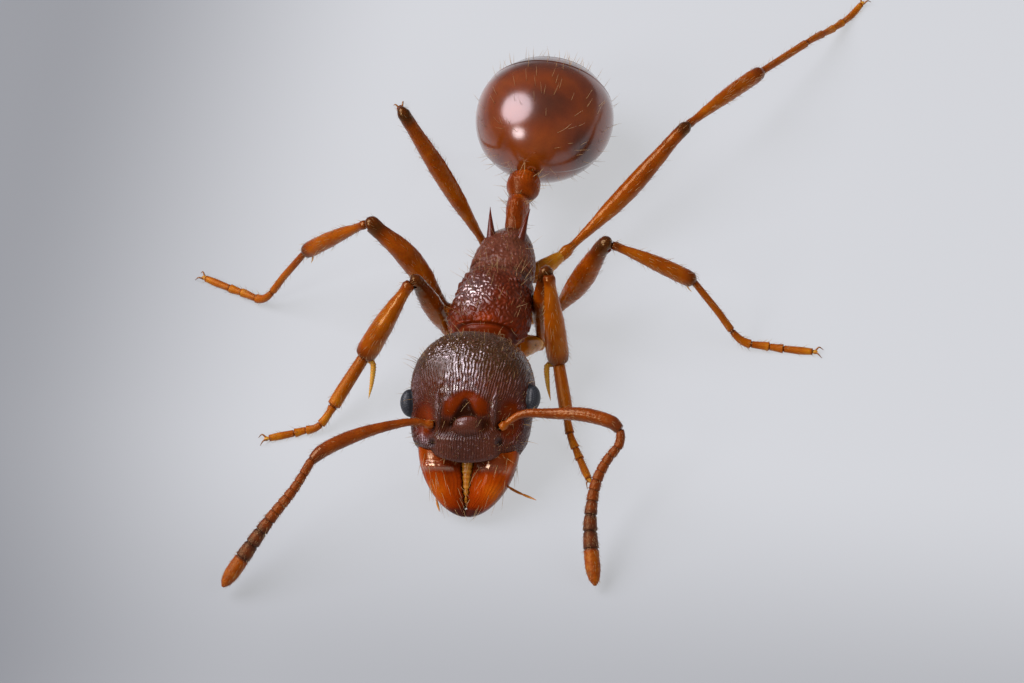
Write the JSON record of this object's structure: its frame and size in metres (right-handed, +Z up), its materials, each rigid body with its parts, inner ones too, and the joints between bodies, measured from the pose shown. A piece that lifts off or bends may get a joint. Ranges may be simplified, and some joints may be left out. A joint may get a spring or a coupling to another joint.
{
  "type": "european fire ant worker specimen",
  "caption": "Life-size still model of a red ant worker standing on its feet, head lowered, feelers spread.",
  "frame": {"origin": "floor point under the middle of the ant's outline, claws and feelers included", "axes": "+Z up from the floor to the ant's back, -Y the way the head points, +X the ant's left"},
  "size_m": [0.0056, 0.0072, 0.0016],
  "materials": {
    "head": "finely wrinkled satin shell, dark olive brown behind and warm brown in front",
    "mandible": "glossy orange shell with dark tips",
    "eye": "faceted blue-black domes",
    "antenna": "satin red-orange shell",
    "palp": "translucent yellow",
    "trunk": "wrinkled glossy red-brown shell",
    "waist": "satin orange-red shell",
    "gaster": "smooth glossy red-brown shell",
    "leg": "glossy amber-orange shell, darker at the knees",
    "tarsus": "satin orange, finely haired",
    "claw": "glossy brown"
  },
  "bodies": {
    "root": {"claws_fore_left": "claw", "claws_fore_right": "claw", "claws_hind_left": "claw", "claws_hind_right": "claw", "claws_mid_left": "claw", "claws_mid_right": "claw", "coxa_fore_left": "leg", "coxa_fore_right": "leg", "coxa_hind_left": "leg", "coxa_hind_right": "leg", "coxa_mid_left": "leg", "coxa_mid_right": "leg", "eye_left": "eye", "eye_right": "eye", "femur_fore_left": "leg", "femur_fore_right": "leg", "femur_hind_left": "leg", "femur_hind_right": "leg", "femur_mid_left": "leg", "femur_mid_right": "leg", "funiculus_left": "antenna", "funiculus_right": "antenna", "gaster_front": "gaster", "gaster_rear": "gaster", "head": "head", "mandible_left": "mandible", "mandible_right": "mandible", "palp_left": "palp", "palp_right": "palp", "petiole": "waist", "postpetiole": "waist", "pronotum": "trunk", "propodeum": "trunk", "scape_left": "antenna", "scape_right": "antenna", "spur_fore_left": "palp", "spur_fore_right": "palp", "tarsus_fore_left": "tarsus", "tarsus_fore_right": "tarsus", "tarsus_hind_left": "tarsus", "tarsus_hind_right": "tarsus", "tarsus_mid_left": "tarsus", "tarsus_mid_right": "tarsus", "tibia_fore_left": "leg", "tibia_fore_right": "leg", "tibia_hind_left": "leg", "tibia_hind_right": "leg", "tibia_mid_left": "leg", "tibia_mid_right": "leg"}
  },
  "joints": []
}
